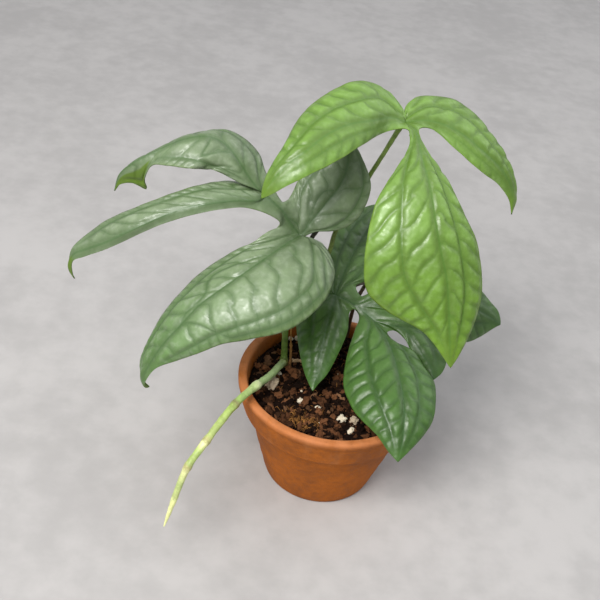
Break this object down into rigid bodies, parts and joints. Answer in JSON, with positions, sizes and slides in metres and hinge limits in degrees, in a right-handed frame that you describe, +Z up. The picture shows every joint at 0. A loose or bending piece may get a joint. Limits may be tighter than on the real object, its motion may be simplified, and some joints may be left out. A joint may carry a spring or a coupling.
{
  "type": "potted amydrium plant",
  "caption": "Aroid house plant with deeply cut, quilted leaves and a hanging runner, growing from dark soil in a tapered terracotta pot with a raised rim band.",
  "frame": {"origin": "middle of the pot's flat foot, on the surface it stands on", "axes": "+Z up; +X to the right and -Y towards the viewer, with the runner hanging to the front left"},
  "size_m": [0.2714, 0.2045, 0.256],
  "materials": {
    "terracotta": "matt fired clay",
    "soil": "matt, crumbly",
    "stem_green": "satin",
    "runner_green": "satin",
    "dry_tissue": "matt",
    "root_tan": "matt",
    "young_leaf_green": "glossy",
    "sage_leaf_green": "satin",
    "low_leaf_green": "satin",
    "dark_stalk": "satin"
  },
  "bodies": {
    "root": {"pot": "terracotta", "soil": "soil", "main_stem": "stem_green", "runner": "runner_green", "dry_sheath": "dry_tissue", "surface_root": "root_tan", "young_leaf_blade": "young_leaf_green", "young_leaf_stalk": "dark_stalk", "sage_leaf_blade": "sage_leaf_green", "sage_leaf_stalk": "dark_stalk", "low_leaf_blade": "low_leaf_green", "low_leaf_stalk": "dark_stalk"}
  },
  "joints": []
}
